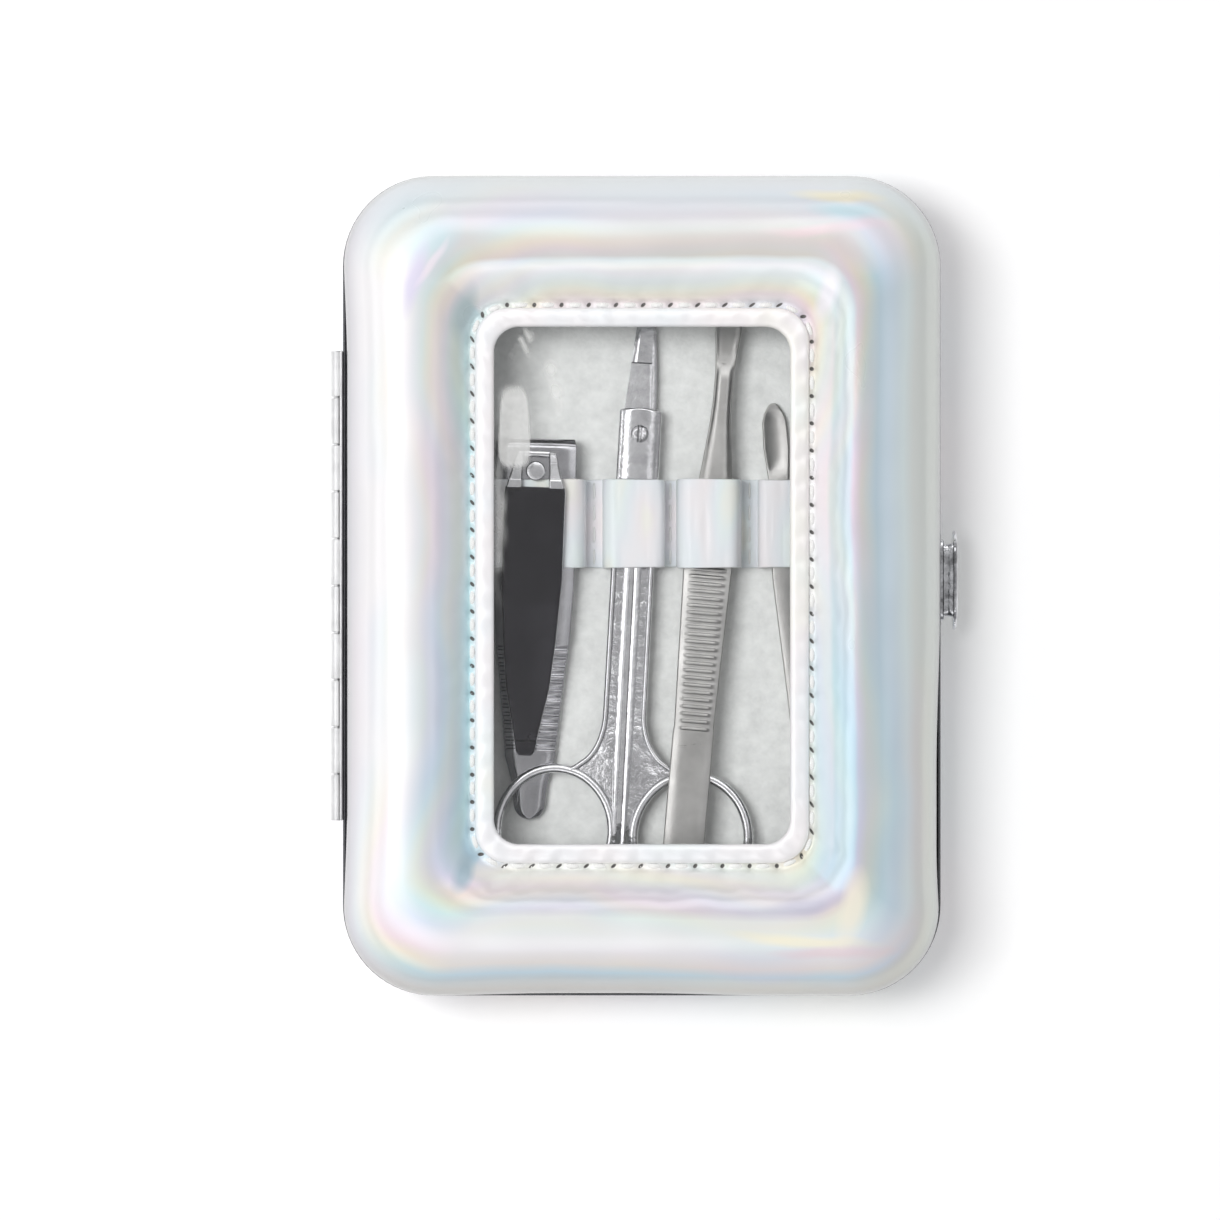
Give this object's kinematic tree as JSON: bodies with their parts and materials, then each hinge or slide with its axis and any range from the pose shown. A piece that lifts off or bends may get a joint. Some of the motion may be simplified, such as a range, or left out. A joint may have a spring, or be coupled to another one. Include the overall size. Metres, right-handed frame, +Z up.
{
  "type": "manicure set case",
  "caption": "Hinged, padded and framed case with a stitched clear window, a push-button latch and manicure tools held in a looped strap.",
  "frame": {"origin": "centre of the flat face that the shut case rests on", "axes": "+X from the hinge to the push button, +Y along the hinge towards the tips of the tools, +Z up through the lid"},
  "size_m": [0.0866, 0.113, 0.024],
  "materials": {
    "foil_leatherette": "pearl foil with soft rainbow bands",
    "foam": "open foam",
    "tray_plastic": "matt moulded",
    "frame_metal": "bright plated",
    "lining": "fine grained leatherette",
    "board_leatherette": "fine crinkled leatherette",
    "thread": "twisted thread",
    "hinge_metal": "bright plated",
    "button_metal": "polished",
    "spring_steel": "rolled strip",
    "clear_sheet": "clear flexible sheet",
    "tool_steel": "polished",
    "satin_steel": "satin"
  },
  "bodies": {
    "base": {"base_cover": "foil_leatherette", "base_padding": "foam", "base_shell": "tray_plastic", "base_frame": "frame_metal", "base_lining": "lining", "tool_board": "board_leatherette", "tool_strap": "foil_leatherette", "strap_stitches": "thread", "hinge_base_leaf": "hinge_metal", "hinge_pin": "hinge_metal", "latch_housing": "button_metal", "latch_spring": "spring_steel", "latch_rivets": "spring_steel"},
    "lid": {"lid_cover": "foil_leatherette", "lid_padding": "foam", "lid_shell": "tray_plastic", "lid_frame": "frame_metal", "lid_lining": "lining", "lid_catch": "spring_steel", "window_pane": "clear_sheet", "window_backing": "tray_plastic", "window_binding": "foil_leatherette", "window_stitches": "thread", "hinge_lid_leaf": "hinge_metal"},
    "button": {"button_cap": "button_metal", "button_shank": "button_metal"},
    "clipper": {"clipper_lower_arm": "tool_steel", "clipper_pin": "tool_steel", "clipper_rivet": "tool_steel"},
    "clipper_top": {"clipper_upper_arm": "tool_steel"},
    "clipper_thumb_lever": {"clipper_lever": "tool_steel"},
    "scissors": {"scissor_lower_half": "tool_steel", "scissor_screw": "tool_steel"},
    "scissors_top": {"scissor_upper_half": "tool_steel"},
    "tweezers": {"tweezer_lower_leaf": "satin_steel"},
    "tweezers_top": {"tweezer_upper_leaf": "satin_steel"},
    "pusher": {"cuticle_pusher": "satin_steel"}
  },
  "joints": [
    {"name": "lid_hinge", "type": "hinge", "parent": "base", "child": "lid", "pos_m": [-0.04212, 0, 0.012], "axis": [0, -1, 0], "range_deg": [0, 180]},
    {"name": "button_press", "type": "slide", "parent": "base", "child": "button", "axis": [-1, 0, 0], "range_m": [0, 0.0012], "stiffness_N_per_m": 800, "springref_m": -0.0004, "deforming": ["latch_spring"]},
    {"name": "clipper_slide", "type": "slide", "parent": "base", "child": "clipper", "axis": [0.0209, 0.9998, 0], "range_m": [0, 0.005]},
    {"name": "clipper_squeeze", "type": "hinge", "parent": "clipper", "child": "clipper_top", "pos_m": [-0.01545, -0.02469, 0.00807], "axis": [-0.9998, 0.0209, 0], "range_deg": [0, 1.2], "stiffness_Nm_per_rad": 5, "springref_deg": -0.57},
    {"name": "lever_lift", "type": "hinge", "parent": "clipper", "child": "clipper_thumb_lever", "pos_m": [-0.01449, 0.0186, 0.01195], "axis": [-0.9993, 0.0384, 0], "range_deg": [0, 7]},
    {"name": "scissors_slide", "type": "slide", "parent": "base", "child": "scissors", "axis": [-0.0558, -0.9984, 0], "range_m": [0, 0.004]},
    {"name": "scissors_pivot", "type": "hinge", "parent": "scissors", "child": "scissors_top", "pos_m": [-0.00027, 0.021, 0.0088], "axis": [0, 0, -1], "range_deg": [0, 1.2]},
    {"name": "tweezers_slide", "type": "slide", "parent": "base", "child": "tweezers", "axis": [-0.0871, -0.9953, 0.0419], "range_m": [0, 0.004]},
    {"name": "tweezers_squeeze", "type": "hinge", "parent": "tweezers", "child": "tweezers_top", "pos_m": [0.00577, -0.03601, 0.01194], "axis": [-0.9962, 0.0872, 0], "range_deg": [0, 1.2], "stiffness_Nm_per_rad": 2, "springref_deg": -0.57},
    {"name": "pusher_slide", "type": "slide", "parent": "base", "child": "pusher", "axis": [-0.0785, 0.9969, 0], "range_m": [0, 0.004]}
  ]
}
